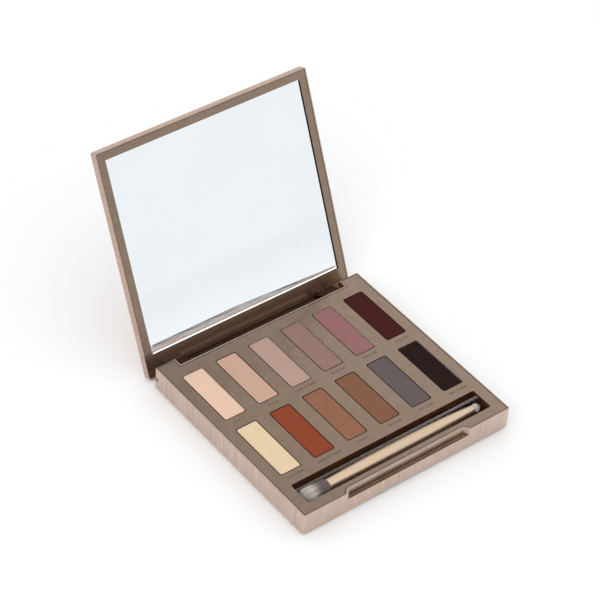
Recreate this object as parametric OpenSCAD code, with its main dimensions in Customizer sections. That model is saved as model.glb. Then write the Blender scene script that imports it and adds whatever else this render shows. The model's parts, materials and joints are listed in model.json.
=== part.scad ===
// Hinged make-up palette: a shallow base with twelve pans of pressed powder and
// a double-ended brush in a trough, under a mirrored lid that turns on two pins.
// Millimetres, +Z up. Origin: centre of the flat face the base rests on.
// +Y runs to the hinge, +X to the right along the front edge.

/* [Case] */
// Overall width, left to right
case_w = 150; // [125:1:180]
// Overall depth of the base, front to hinge side
case_d = 142; // [118:1:171]
// Height of the base's side walls
shell_h = 14.2; // [11.8:0.1:17.1]
// Thickness of the lid
lid_t = 5.8; // [4.8:0.1:7]
// Radius of the upright corners
corner_r = 1.2; // [0.9:0.1:3]
// Width of the thin rim round the tray
rim_w = 0.8; // [0.6:0.1:1.2]

/* [Pans] */
// Width of one powder opening
pan_w = 14.8; // [12.3:0.1:17.8]
// Length of one powder opening
pan_l = 43.2; // [36:0.1:51.9]
// Height of a tin pan
pan_h = 2.8; // [2:0.1:3.6]

/* [Brush] */
// Width of the brush trough
trough_w = 15.8; // [12.5:0.1:18.2]
// Distance from the front face to the trough
front_margin = 7.4; // [7.2:0.1:9]

/* [Lid] */
// Width of the bezel beside the mirror
bezel_w = 5; // [4.2:0.1:6]
// Angle from closed at which the lid stands
open_angle = 114; // [95:1:115]
// Gap between the closed lid and the base's rim
seam_gap = 0.4; // [0.3:0.1:0.6]

/* [Hidden] */
$fn = 48;

cols = 6;
wall = 1.6;            // side wall of the base under its rim
floor_t = 1.4;         // bottom plate
groove = 0.4;          // dark line between rim and tray
tray_t = 1.4;          // tray plate
tray_drop = 0.1;       // tray surface below the rim
well_gap = 0.25;       // pan to well wall, half of the play
well_lip = 0.1;        // pan rim below the tray surface
well_wall = 0.9;       // tray wall round a well and round the trough
pan_shift = 0.15;      // pans are glued this far towards the back and the right
powder_drop = 0.08;    // powder below the pan's rim
tin_t = 0.2;           // sheet of a pan
glue_t = 0.15;
ear_w = 13.8;          // width of each hinge ear
notch_d = 6.1;         // depth of the notch the lid's hinge block sits in
axis_in = 2;           // hinge axis in from the back face
pin_r = 0.9;
pin_run = 0.05;        // running clearance round a pin
knuckle_r = 2;
pin_sink = 1.2;        // pin end below the ear's face
thumb_d = 2.4;         // depth of the front thumb recess
thumb_h = 4.7;         // how far it is cut down from the rim
thumb_band = 1.7;      // rim width round the recess
edge = 0.8;            // bevel on the lid's outer edges
lid_wall = 1.3;
frame_gap = 0.3;        // bezel to lip
glass_gap = 0.25;      // mirror to bezel
frame_drop = 0.15;     // bezel face above the lid's lip
glass_t = 1.8;
glass_drop = 0.5;      // mirror face behind the bezel face
tape_t = 0.4;
magnet_r = 1.6;
magnet_h = 1.5;
film_t = 0.15;
film_gap = 0.2;        // brush head to sleeve

half_w = case_w / 2;
half_d = case_d / 2;
pivot_up = shell_h * 30 / 71;
axis_y = half_d - axis_in;
lid_reach = shell_h - pivot_up + seam_gap + lid_t;
// the resting plinth lifts the case so the open lid's low corner clears the table
plinth_h = max(0.8, 0.25 + axis_in * sin(open_angle)
  - (lid_reach - edge) * cos(open_angle) - pivot_up);
plinth_in = 3;
axis_z = plinth_h + pivot_up;
rim_z = plinth_h + shell_h;
tray_z = rim_z - tray_drop;
tray_bot = tray_z - tray_t;
notch_half = half_w - ear_w;
notch_y = half_d - notch_d;
notch_floor = plinth_h + 1.6;
thumb_half = 0.278 * case_w;

pitch = (case_w - 7.4) / cols;
trough_l = case_w - 16.4;
trough_y = -half_d + front_margin + trough_w / 2;
trough_depth = shell_h - 3.4;
free_y = case_d - front_margin - trough_w - notch_d - 2 * pan_l;
// the gap behind the back row also holds a well wall and the notch's wall
back_gap = max(free_y / 3, well_wall + wall + 0.2);
row_gap = (free_y - back_gap) / 2;
front_row_y = -half_d + front_margin + trough_w + row_gap + pan_l / 2;
back_row_y = front_row_y + pan_l + row_gap;
pan_top = tray_z - well_lip;
well_floor = pan_top - pan_h - glue_t;

head_r = min((trough_depth - 1) / 2, trough_w / 2 - 1.2);
film_hh = head_r + film_gap + film_t;
film_hw = max(film_hh + 0.1, trough_w / 2 - 1.35);
brush_y = trough_y + 0.05;
brush_z = rim_z - trough_depth + 0.05 + film_hh;
brush_l = trough_l - 1.6;
tip_l = 19.2;          // large head beyond the handle
nib_l = 5.4;           // small head beyond the handle
handle_l = brush_l - tip_l - nib_l;
handle_x = -brush_l / 2 + tip_l;
handle_r = head_r * 0.93;
socket_d = 6;

lid_z = rim_z + seam_gap;
lid_top = lid_z + lid_t;
lid_back = half_d - notch_d + 1;
tongue_d = 2.4;
tongue_half = notch_half - 10.9;
block_half = notch_half - 0.3;
frame_z = lid_z + frame_drop;
win_half = half_w - rim_w - bezel_w;
win_front = -half_d + rim_w + bezel_w;
win_back = lid_back - 8;
magnet_x = thumb_half + 14;
magnet_y = -half_d + 3.8;

// ---------------------------------------------------------------- shapes

module round_rect(w, d, r) {
  square([w - 2 * r, d], center = true);
  square([w, d - 2 * r], center = true);
  for (sx = [-1, 1]) {
    for (sy = [-1, 1]) {
      translate([sx * (w / 2 - r), sy * (d / 2 - r)]) circle(r);
    }
  }
}

// trapezoid of the thumb recess, grown outwards by m
module thumb_area(m) {
  inner = thumb_half + 0.4142 * m;
  run = thumb_d + m + 2;
  y_in = -half_d + thumb_d + m;
  polygon([
    [-inner, y_in], [inner, y_in],
    [inner + run, y_in - run], [-inner - run, y_in - run]
  ]);
}

// plan of the base, set in by m, with the back notch and the thumb recess
module base_area(m, thumb_m) {
  difference() {
    round_rect(case_w - 2 * m, case_d - 2 * m, max(0.3, corner_r - m));
    translate([-notch_half - m, notch_y - m]) {
      square([2 * (notch_half + m), notch_d + 10]);
    }
    thumb_area(thumb_m);
  }
}

// draws a (y, z) section along X
module along_x(len) {
  rotate([90, 0, 90]) linear_extrude(len, center = true) children();
}

// turns a closed-lid shape to the standing angle
module opened() {
  translate([0, axis_y, axis_z]) rotate([-open_angle, 0, 0]) {
    translate([0, -axis_y, -axis_z]) children();
  }
}

function pan_at(i) = [
  (i % cols - (cols - 1) / 2) * pitch,
  i < cols ? back_row_y : front_row_y
];

// ---------------------------------------------------------------- base

module base_shell() {
  color([0.78, 0.67, 0.6]) difference() {
    union() {
      difference() {
        translate([0, 0, plinth_h]) {
          linear_extrude(shell_h) round_rect(case_w, case_d, corner_r);
        }
        // notch for the lid's hinge block
        translate([-notch_half, notch_y, notch_floor]) {
          cube([2 * notch_half, notch_d + 10, 40]);
        }
        // bevel on the ears' top back edges, so the turning lid clears them
        translate([0, half_d, rim_z]) rotate([45, 0, 0]) {
          cube([case_w + 10, 0.85, 0.85], center = true);
        }
      }
      // plinth the case stands on
      linear_extrude(plinth_h + 0.5) {
        round_rect(case_w - 2 * plinth_in, case_d - 2 * plinth_in, 2);
      }
    }
    // hollow for the tray, with a ledge under the tray plate
    translate([0, 0, tray_bot]) linear_extrude(10) base_area(rim_w, thumb_band);
    translate([0, 0, rim_z - thumb_h - 1.2]) linear_extrude(thumb_h + 1.2) {
      difference() {
        deep_area();
        thumb_area(thumb_band);
      }
    }
    translate([0, 0, plinth_h + floor_t]) {
      linear_extrude(shell_h - floor_t - thumb_h - 1.2 + 0.01) deep_area();
    }
    translate([0, 0, floor_t]) linear_extrude(plinth_h + 1) {
      round_rect(case_w - 2 * plinth_in - 2.8, case_d - 2 * notch_d - 4, 2);
    }
    // thumb recess, its catch bead and the groove over the bead
    translate([0, 0, rim_z - thumb_h]) linear_extrude(20) thumb_area(-0.5);
    translate([0, 0, rim_z - thumb_h + 0.4]) linear_extrude(20) thumb_area(0);
    translate([0, 0, rim_z - thumb_h + 0.4]) linear_extrude(0.4) thumb_area(0.5);
    // pin bores through the ears
    translate([0, axis_y, axis_z]) rotate([0, 90, 0]) {
      cylinder(r = pin_r, h = case_w + 2, center = true);
    }
    for (s = [-1, 1]) {
      translate([s * half_w, axis_y, axis_z]) rotate([0, 90, 0]) {
        cylinder(r = pin_r + 0.3, h = 2 * pin_sink, center = true);
      }
    }
  }
}

module deep_area() {
  y0 = -half_d + wall;
  translate([-half_w + wall, y0]) {
    square([case_w - 2 * wall, notch_y - wall - y0]);
  }
}

module well_area(grow) {
  round_rect(pan_w + 2 * grow, pan_l + 2 * grow, 1.5 + grow);
}

module trough_area(grow) {
  round_rect(trough_l + 2 * grow, trough_w + 2 * grow, 1.1 + grow);
}

module base_tray() {
  trough_floor = rim_z - trough_depth;
  color([0.56, 0.49, 0.42]) difference() {
    union() {
      translate([0, 0, tray_bot]) {
        linear_extrude(tray_t) base_area(rim_w + groove, thumb_band + groove);
      }
      for (i = [0 : 2 * cols - 1]) {
        translate([pan_at(i)[0], pan_at(i)[1], well_floor - well_wall]) {
          linear_extrude(tray_bot - well_floor + well_wall + 0.1) well_area(well_wall);
        }
      }
      translate([0, trough_y, trough_floor - well_wall]) {
        linear_extrude(tray_bot - trough_floor + well_wall + 0.1) trough_area(well_wall);
      }
      for (s = [-1, 1]) {
        translate([s * magnet_x - 3, magnet_y - 2.1, tray_z - 2.4]) {
          cube([6, 4.4, 2]);
        }
      }
    }
    for (i = [0 : 2 * cols - 1]) {
      translate([pan_at(i)[0], pan_at(i)[1], well_floor]) {
        linear_extrude(10) well_area(0);
      }
    }
    translate([0, trough_y, trough_floor]) linear_extrude(20) trough_area(0);
    for (s = [-1, 1]) {
      translate([s * magnet_x, magnet_y, tray_z - 2.6]) {
        cylinder(r = magnet_r, h = 2.6 - 0.6);
      }
    }
  }
}

module pan(i) {
  color([0.75, 0.75, 0.76]) {
    translate([pan_at(i)[0] + pan_shift, pan_at(i)[1] + pan_shift, pan_top - pan_h]) difference() {
      linear_extrude(pan_h) well_area(-well_gap);
      translate([0, 0, tin_t]) linear_extrude(pan_h) well_area(-well_gap - tin_t);
    }
  }
}

module powder(i, tint) {
  color(tint) {
    translate([pan_at(i)[0] + pan_shift, pan_at(i)[1] + pan_shift, pan_top - pan_h + tin_t]) {
      linear_extrude(pan_h - tin_t - powder_drop) well_area(-well_gap - tin_t);
    }
  }
}

module pan_glue() {
  color([0.9, 0.88, 0.8]) for (i = [0 : 2 * cols - 1]) {
    translate([pan_at(i)[0], pan_at(i)[1], well_floor]) {
      linear_extrude(glue_t) square([pan_w - 5, pan_l - 6], center = true);
    }
  }
}

module base_magnets() {
  color([0.6, 0.6, 0.62]) for (s = [-1, 1]) {
    translate([s * magnet_x, magnet_y, tray_z - 0.6 - magnet_h]) {
      cylinder(r = magnet_r, h = magnet_h);
    }
  }
}

module hinge_pin(s) {
  inner = notch_half - 8.4;
  outer = half_w - pin_sink;
  color([0.5, 0.5, 0.52]) {
    translate([s * (inner + outer) / 2, axis_y, axis_z]) rotate([0, 90, 0]) {
      cylinder(r = pin_r, h = outer - inner, center = true);
    }
  }
}

// ---------------------------------------------------------------- brush

module film_area(grow) {
  hh = film_hh + grow;
  flat = film_hw - film_hh;
  square([2 * flat, 2 * hh], center = true);
  for (s = [-1, 1]) {
    translate([s * flat, 0]) circle(hh);
  }
}

module brush_sleeve() {
  color([0.9, 0.9, 0.92, 0.3]) translate([0, brush_y, brush_z]) {
    along_x(brush_l + 0.8) difference() {
      film_area(0);
      film_area(-film_t);
    }
  }
}

// radius of the handle along its length, t from 0 at the large head to 1
function swell(t) = t < 0.4
  ? 1 - 1.0 * pow(0.4 - t, 2)
  : 1 - 1.9 * pow(t - 0.4, 3);
function handle_at(t) = handle_r * swell(t);

module on_brush_axis(x) {
  translate([x, brush_y, brush_z]) rotate([0, 90, 0]) children();
}

module brush_handle() {
  n = 20;
  big = handle_at(0) - 0.5;
  small = handle_at(1) - 0.45;
  color([0.86, 0.75, 0.62]) on_brush_axis(handle_x) difference() {
    rotate_extrude() {
      polygon(concat(
        [[0, 0], [handle_at(0) - 0.25, 0]],
        [for (k = [1 : n - 1]) [handle_at(k / n), handle_l * k / n]],
        [[handle_at(1) - 0.2, handle_l], [0, handle_l]]
      ));
    }
    translate([0, 0, -1]) cylinder(r = big, h = socket_d + 1);
    translate([0, 0, handle_l - socket_d]) cylinder(r = small, h = socket_d + 1);
  }
}

module bristles_large() {
  root = handle_at(0) - 0.5;
  color([0.55, 0.48, 0.48]) on_brush_axis(handle_x) rotate_extrude() {
    polygon([
      [0, socket_d], [root, socket_d], [root, 0], [head_r * 0.88, -0.5],
      [head_r * 0.93, -tip_l * 0.28], [head_r * 0.99, -tip_l * 0.5],
      [head_r, -tip_l * 0.7], [head_r * 0.95, -tip_l * 0.85],
      [head_r * 0.82, -tip_l * 0.93], [head_r * 0.5, -tip_l * 0.985],
      [0, -tip_l]
    ]);
  }
}

module bristles_small() {
  root = handle_at(1) - 0.45;
  color([0.93, 0.92, 0.9]) on_brush_axis(handle_x + handle_l) rotate_extrude() {
    polygon([
      [0, -socket_d], [root, -socket_d], [root, 0],
      [root * 1.18, nib_l * 0.15], [root * 1.2, nib_l * 0.35], [root * 1.08, nib_l * 0.6],
      [root * 0.75, nib_l * 0.85], [root * 0.35, nib_l * 0.97], [0, nib_l]
    ]);
  }
}

// ---------------------------------------------------------------- lid

// plan of the bezel frame, set in by m, with the tongue over the hinge block
module frame_area(m) {
  x = half_w - rim_w - m;
  y0 = -half_d + rim_w + m;
  y1 = lid_back - m;
  a = tongue_half - 0.4142 * m;
  polygon([
    [-x, y0], [x, y0], [x, y1], [a, y1],
    [a - tongue_d, y1 + tongue_d], [-a + tongue_d, y1 + tongue_d],
    [-a, y1], [-x, y1]
  ]);
}

// slab with bevelled edges on its outer face, in (u, z)
module slab_side(half) {
  polygon([
    [-half, lid_z], [half, lid_z], [half, lid_top - edge],
    [half - edge, lid_top], [edge - half, lid_top], [-half, lid_top - edge]
  ]);
}

module hinge_end() {
  front = lid_back + 0.2;
  polygon([
    [half_d, lid_z + 0.8], [half_d, axis_z], [axis_y - knuckle_r, axis_z],
    [front, axis_z + 1.8], [front, lid_z + 0.8]
  ]);
  translate([axis_y, axis_z]) circle(knuckle_r);
}

module hinge_web() {
  front = lid_back + tongue_d + 0.2;
  polygon([
    [half_d, lid_z + 0.8], [half_d, axis_z], [axis_y - knuckle_r, axis_z],
    [axis_y - knuckle_r, axis_z + 1], [front, axis_z + 2.6], [front, lid_z + 0.8]
  ]);
  translate([axis_y, axis_z]) circle(knuckle_r);
}

module lid_shell() {
  end_w = block_half - tongue_half + 2;
  color([0.78, 0.66, 0.59]) opened() difference() {
    union() {
      difference() {
        intersection() {
          translate([0, 0, lid_z]) {
            linear_extrude(lid_t) round_rect(case_w, case_d, corner_r);
          }
          along_x(case_w + 10) slab_side(half_d);
          rotate([0, 0, 90]) along_x(case_d + 10) slab_side(half_w);
        }
        translate([0, 0, lid_z - 1]) {
          linear_extrude(lid_t - lid_wall + 1) frame_area(0);
        }
      }
      along_x(2 * block_half) hinge_web();
      for (s = [-1, 1]) {
        difference() {
          translate([s * (block_half - end_w / 2), 0, 0]) along_x(end_w) hinge_end();
          // the bezel's tongue passes beside it
          translate([0, 0, axis_z + knuckle_r + 0.1]) {
            linear_extrude(lid_top - lid_wall - axis_z - knuckle_r - 0.1) frame_area(0);
          }
        }
      }
    }
    for (s = [-1, 1]) {
      translate([s * (notch_half - 4.2), axis_y, axis_z]) rotate([0, 90, 0]) {
        cylinder(r = pin_r + pin_run, h = 8.8, center = true);
      }
    }
  }
}

module window_area(grow) {
  translate([-win_half - grow, win_front - grow]) {
    square([2 * (win_half + grow), win_back - win_front + 2 * grow]);
  }
}

module lid_frame() {
  frame_t = lid_top - lid_wall - frame_z;
  color([0.56, 0.49, 0.42]) opened() difference() {
    translate([0, 0, frame_z]) linear_extrude(frame_t) frame_area(frame_gap);
    translate([0, 0, frame_z - 1]) {
      linear_extrude(1 + glass_drop + glass_t + tape_t) window_area(0);
    }
    for (s = [-1, 1]) {
      translate([s * magnet_x, magnet_y, frame_z + 0.9]) {
        cylinder(r = magnet_r, h = 10);
      }
    }
  }
}

module mirror_glass() {
  color([0.92, 0.94, 0.95]) opened() {
    translate([0, 0, frame_z + glass_drop]) linear_extrude(glass_t) window_area(-glass_gap);
  }
}

module mirror_tape() {
  color([0.2, 0.2, 0.2]) opened() {
    translate([0, 0, frame_z + glass_drop + glass_t]) {
      linear_extrude(tape_t) window_area(-4);
    }
  }
}

module lid_magnets() {
  color([0.6, 0.6, 0.62]) opened() for (s = [-1, 1]) {
    translate([s * magnet_x, magnet_y, frame_z + 0.9]) {
      cylinder(r = magnet_r, h = magnet_h);
    }
  }
}

// ---------------------------------------------------------------- placement

base_shell();
base_tray();
pan_glue();
base_magnets();
pan(0);  // pan_01
pan(1);  // pan_02
pan(2);  // pan_03
pan(3);  // pan_04
pan(4);  // pan_05
pan(5);  // pan_06
pan(6);  // pan_07
pan(7);  // pan_08
pan(8);  // pan_09
pan(9);  // pan_10
pan(10);  // pan_11
pan(11);  // pan_12
powder(0, [0.91, 0.78, 0.69]);  // powder_01
powder(1, [0.8, 0.66, 0.58]);  // powder_02
powder(2, [0.73, 0.61, 0.56]);  // powder_03
powder(3, [0.6, 0.47, 0.43]);  // powder_04
powder(4, [0.6, 0.43, 0.43]);  // powder_05
powder(5, [0.29, 0.15, 0.14]);  // powder_06
powder(6, [0.91, 0.82, 0.68]);  // powder_07
powder(7, [0.56, 0.28, 0.19]);  // powder_08
powder(8, [0.58, 0.42, 0.32]);  // powder_09
powder(9, [0.53, 0.37, 0.29]);  // powder_10
powder(10, [0.4, 0.36, 0.37]);  // powder_11
powder(11, [0.18, 0.13, 0.13]);  // powder_12
hinge_pin(-1);  // hinge_pin_left
hinge_pin(1);  // hinge_pin_right
brush_sleeve();
lid_shell();
lid_frame();
mirror_tape();
mirror_glass();
lid_magnets();
brush_handle();
bristles_large();
bristles_small();
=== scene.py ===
# %% [markdown]
# # A hinged make-up palette
# The model of the palette arrives as a frame: every case part, pan, pin and magnet is already in
# place, in metres, and says which moving body it belongs to. This lesson gives each of them the
# finish of the real thing, and swaps the ones whose beauty is in a fine shape (rolled pan rims,
# pressed powder, the bevelled mirror, the brush) for meshes worked out with numpy.

# %% Load the frame
import json
from math import cos, pi, radians, sin

import bmesh
import bpy
import numpy as np
from mathutils import Matrix, Vector


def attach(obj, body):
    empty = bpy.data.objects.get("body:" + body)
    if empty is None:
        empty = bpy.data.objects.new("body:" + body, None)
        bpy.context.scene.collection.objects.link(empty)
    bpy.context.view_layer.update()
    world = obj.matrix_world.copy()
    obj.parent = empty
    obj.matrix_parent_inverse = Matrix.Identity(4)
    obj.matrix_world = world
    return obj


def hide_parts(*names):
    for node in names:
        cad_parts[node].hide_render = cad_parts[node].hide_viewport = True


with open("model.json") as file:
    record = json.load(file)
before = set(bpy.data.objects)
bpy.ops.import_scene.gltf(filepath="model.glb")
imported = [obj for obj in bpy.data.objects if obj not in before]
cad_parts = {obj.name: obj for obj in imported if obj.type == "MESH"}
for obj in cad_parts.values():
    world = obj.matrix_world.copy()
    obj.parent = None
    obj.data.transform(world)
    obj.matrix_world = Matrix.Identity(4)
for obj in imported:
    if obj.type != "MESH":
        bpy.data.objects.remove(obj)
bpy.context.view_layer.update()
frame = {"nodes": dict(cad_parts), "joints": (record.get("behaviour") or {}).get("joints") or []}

MM = 0.001
nodes = frame["nodes"]

# %% [markdown]
# ## Camera
# A long lens from the front left corner, a little rolled, looks down on the palette. Three angles
# say where it looks: azimuth turns it round the object, elevation lifts it, and roll tips the
# frame. A rotation matrix with the right, up and backward directions as its columns is all that
# a camera needs, so those three directions are worked out first.

# %% Place the camera
azimuth, elevation, roll = radians(-40.708), radians(42.041), radians(4.581)
camera_place = Vector((-0.67039, -0.74466, 0.98525))

backward = Vector((sin(azimuth) * cos(elevation), -cos(azimuth) * cos(elevation), sin(elevation)))
level_right = Vector((cos(azimuth), sin(azimuth), 0))
level_up = backward.cross(level_right)
right = cos(roll) * level_right + sin(roll) * level_up
up = backward.cross(right)

camera = bpy.data.objects.new("camera", bpy.data.cameras.new("camera"))
camera.data.sensor_width = 36
camera.data.lens = 144.57
camera.data.clip_end = 20
turned = Matrix((right, up, backward)).transposed().to_4x4()
camera.matrix_world = Matrix.Translation(camera_place) @ turned
bpy.context.scene.collection.objects.link(camera)
bpy.context.scene.camera = camera
print("camera stands", round(camera_place.length, 3), "m from the palette")

# %% [markdown]
# ## Studio
# The palette is a glossy metallised thing, so what it mirrors is most of its colour. It stands
# on a white floor in a white room: a plain bright sky that turns a little cooler overhead, and one
# wide soft lamp at the upper left that lifts the floor and gives edges their light side.

# %% Floor, sky and lamp
bpy.context.scene.view_settings.view_transform = "Standard"

floor_mesh = bpy.data.meshes.new("floor")
reach = 40.0
corners = [(-reach, -reach, 0), (reach, -reach, 0), (reach, reach, 0), (-reach, reach, 0)]
floor_mesh.from_pydata(corners, [], [(0, 1, 2, 3)])
floor = bpy.data.objects.new("floor", floor_mesh)
floor.location.z = -0.02 * MM
bpy.context.scene.collection.objects.link(floor)

world = bpy.data.worlds.new("room")
bpy.context.scene.world = world
world.use_nodes = True
world.node_tree.nodes["Background"].inputs["Color"].default_value = (0.985, 0.995, 1.0, 1)
world.node_tree.nodes["Background"].inputs["Strength"].default_value = 1.0


def soft_lamp(name, place, aim, size, watts):
    """A square lamp at a place, facing a point: its -Z axis turns onto the line between them."""
    lamp = bpy.data.objects.new(name, bpy.data.lights.new(name, "AREA"))
    lamp.data.size = size
    lamp.data.energy = watts
    lamp.location = place
    lamp.rotation_euler = (Vector(aim) - Vector(place)).to_track_quat("-Z", "Y").to_euler()
    bpy.context.scene.collection.objects.link(lamp)


soft_lamp("window", place=(-1.3, -0.7, 1.5), aim=(0, 0, 0.03), size=1.2, watts=6)
print("studio: one soft lamp, white sky and floor")

# %% [markdown]
# ## Writing materials
# A material is a small graph of nodes. Helpers keep the graphs short: one starts a material, one
# adds a node with its inputs, where an input is a plain value or another node's output, and the
# rest give a colour ramp, a stretched noise, a relief and a link to the shader.

# %% Material helpers


def new_material(name, **shader_values):
    """A new material with its Principled shader. Keyword values go to the shader's own sockets."""
    material = bpy.data.materials.new(name)
    material.use_nodes = True
    shader = material.node_tree.nodes["Principled BSDF"]
    for socket, value in shader_values.items():
        shader.inputs[socket.replace("_", " ")].default_value = value
    return material, material.node_tree, shader


def add(tree, kind, inputs=None, **settings):
    """Adds a shader node, sets its fields, and fills or links its inputs."""
    made = tree.nodes.new("ShaderNode" + kind)
    for field, value in settings.items():
        setattr(made, field, value)
    for socket, value in (inputs or {}).items():
        if isinstance(value, bpy.types.NodeSocket):
            tree.links.new(value, made.inputs[socket])
        else:
            made.inputs[socket].default_value = value
    return made


def ramp(tree, factor, stops):
    """A colour ramp. Stops are (place from 0 to 1, colour) pairs."""
    made = add(tree, "ValToRGB", {"Fac": factor})
    elements = made.color_ramp.elements
    while len(elements) < len(stops):
        elements.new(0.5)
    for element, (place, colour) in zip(elements, stops):
        element.position = place
        element.color = colour
    return made.outputs["Color"]


def tone(hex_colour):
    """A linear colour with alpha from a screen colour such as 'C8B0A0'. A channel above 0.04045
    becomes ((channel + 0.055) / 1.055) to the power 2.4, and a smaller one is divided by 12.92."""
    channels = np.array([int(hex_colour[i:i + 2], 16) for i in (0, 2, 4)]) / 255
    linear = np.where(channels > 0.04045, ((channels + 0.055) / 1.055) ** 2.4, channels / 12.92)
    return (*linear.tolist(), 1.0)


def stretched_noise(tree, spans, detail=3.0, turn=0.0, roughness=0.55):
    """Noise on Object coordinates whose grains measure spans (x, y, z) millimetres.
    A turn about X first lays the standing lid's pattern back into the closed lid's directions."""
    place = add(tree, "TexCoord").outputs["Object"]
    if turn:
        place = add(tree, "Mapping", {"Vector": place, "Rotation": (turn, 0, 0)}).outputs["Vector"]
    scaled = add(tree, "Mapping", {"Vector": place, "Scale": tuple(1 / (s * MM) for s in spans)})
    noise = add(tree, "TexNoise", {"Vector": scaled.outputs["Vector"], "Scale": 1.0,
                                   "Detail": detail, "Roughness": roughness})
    return noise.outputs["Fac"]


def bumped(tree, shader, height, depth_mm, strength=1.0):
    """Reads a height as relief of depth_mm and feeds it to the shader's normal."""
    bump = add(tree, "Bump", {"Height": height, "Distance": depth_mm * MM, "Strength": strength})
    tree.links.new(bump.outputs["Normal"], shader.inputs["Normal"])


def painted(tree, shader, socket, output):
    """Links a pattern to one of the shader's sockets."""
    tree.links.new(output, shader.inputs[socket])


# %% [markdown]
# ## Floor
# The floor is white paint that is nearly even: a slow noise moves its tone by a hair.

# %% Floor paint
material, tree, shader = new_material("studio floor", Roughness=0.8)
painted(tree, shader, "Base Color", ramp(tree, stretched_noise(tree, (60, 60, 60)),
                                         [(0.0, tone("FBFBFC")), (1.0, tone("FCFDFD"))]))
floor.data.materials.append(material)

# %% [markdown]
# ## Frame geometry
# The lid is modelled closed and then turned about its two pins, so lid parts are easiest to work on
# in the closed position. The hinge joint holds the line of the pins and the angle that the lid
# turned through, and one function carries points either way.

# %% Hinge line and standing angle
hinge = next(j for j in frame["joints"] if j["name"] == "lid_hinge")
hinge_place = np.array(hinge["pos_m"])
stand_angle = radians(hinge["range_deg"][0])


def turn_lid(points, angle):
    """Turns points about the hinge line: y becomes y cos - z sin and z becomes y sin + z cos of
    the angle, with both measured from the pins."""
    moved = np.array(points, float)
    y, z = moved[..., 1] - hinge_place[1], moved[..., 2] - hinge_place[2]
    moved[..., 1] = hinge_place[1] + y * cos(angle) - z * sin(angle)
    moved[..., 2] = hinge_place[2] + y * sin(angle) + z * cos(angle)
    return moved


def corners_of(node, closed=False):
    """Lowest and highest corner of a frame part. If closed is set, the part is a lid part, and it is
    measured in the closed position."""
    mesh = nodes[node].data
    places = np.zeros(len(mesh.vertices) * 3)
    mesh.vertices.foreach_get("co", places)
    places = places.reshape(-1, 3)
    if closed:
        places = turn_lid(places, -stand_angle)
    return places.min(0), places.max(0)


print("lid stands at", round(-np.degrees(stand_angle), 1), "degrees from closed")

# %% [markdown]
# ## Meshes from arrays
# Most small parts here are a profile carried round an outline: a pan is the section of its wall
# carried round a rounded rectangle, a handle is a section carried round a circle. Both give a grid
# of points, and a grid turns into faces by joining each point to its three neighbours.

# %% Grid and outline helpers
smallest_radius = 0.04 * MM


def grid_faces(rows, columns, start=0):
    """Quads between the points of a grid that is open along its rows and closed round its columns."""
    r, c = np.meshgrid(np.arange(rows - 1), np.arange(columns), indexing="ij")
    after = (c + 1) % columns
    quads = np.stack([r * columns + c, r * columns + after,
                      (r + 1) * columns + after, (r + 1) * columns + c], -1)
    return (quads.reshape(-1, 4) + start).tolist()


def rounded_outline(width, depth, radius, per_corner):
    """Points counter-clockwise round a rectangle: each corner's centre plus the radius times the
    cosine and sine of an angle that runs through a quarter turn. The inputs may be arrays, with
    one outline for each value."""
    quarter = np.linspace(0, pi / 2, per_corner)
    angles = (np.arange(4)[:, None] * pi / 2 + quarter).reshape(-1)
    sign_x = np.repeat([1, -1, -1, 1], per_corner)
    sign_y = np.repeat([1, 1, -1, -1], per_corner)
    width, depth, radius = (np.atleast_1d(v)[:, None] for v in (width, depth, radius))
    x = sign_x * (width / 2 - radius) + radius * np.cos(angles)
    y = sign_y * (depth / 2 - radius) + radius * np.sin(angles)
    return x, y


def carried_round(profile, width, depth, radius, per_corner=7):
    """A profile of (inset, height) points carried round a rounded rectangle: each row is the outline
    drawn in by the inset, at that height. The first and last rows are closed by flat caps."""
    inset, height = np.array(profile, float).T
    corner = np.maximum(radius - inset, smallest_radius)
    x, y = rounded_outline(width - 2 * inset, depth - 2 * inset, corner, per_corner)
    points = np.stack([x, y, np.repeat(height[:, None], x.shape[1], 1)], -1)
    rows, columns = x.shape
    faces = grid_faces(rows, columns)
    faces.append(list(range(columns))[::-1])
    faces.append(list(range((rows - 1) * columns, rows * columns)))
    return points.reshape(-1, 3), faces


def spun(profile, centre, around=64):
    """A profile of (distance along X, radius) points carried round the X axis through centre:
    y and z are the radius times the cosine and sine of the turn. Flat caps close both ends."""
    along, radius = np.array(profile, float).T
    turn = np.linspace(0, 2 * pi, around, endpoint=False)
    x = np.repeat(along[:, None], around, 1)
    points = np.stack([x, centre[1] + radius[:, None] * np.cos(turn),
                       centre[2] + radius[:, None] * np.sin(turn)], -1)
    faces = grid_faces(len(along), around)
    faces.append(list(range(around))[::-1])
    faces.append(list(range((len(along) - 1) * around, len(along) * around)))
    return points.reshape(-1, 3), faces


def place_piece(name, points, faces, body, material, replaced=(), smooth=35):
    """Puts points and faces into a mesh object that rides on a body and stands for the frame's
    parts in replaced. Faces that meet at less than smooth degrees are shaded as one surface."""
    mesh = bpy.data.meshes.new(name)
    mesh.from_pydata(np.asarray(points).tolist(), [], faces)
    mesh.materials.append(material)
    piece = bpy.data.objects.new(name, mesh)
    bpy.context.scene.collection.objects.link(piece)
    mesh.shade_smooth()
    if smooth:
        mesh.set_sharp_from_angle(angle=radians(smooth))
    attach(piece, body)
    if replaced:
        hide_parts(*replaced)
    return piece


# %% [markdown]
# ## Case finish
# The case is moulded plastic with a metallised rose-beige coat over a fine relief of wood-like
# grain. On the side walls the grain runs upright: threads under half a millimetre wide, some
# lighter, some pinker. Noise stretched seventy times along one direction makes such threads. Two of
# them at different widths are mixed, because real grain repeats at no single scale. The coat is a
# metal that reflects a soft blur of the room. A gain multiplies all the coat's tones: on the base it
# lifts them as painted light, and on the lid it lowers and reddens them as painted shade.

# %% Rose case material


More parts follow.
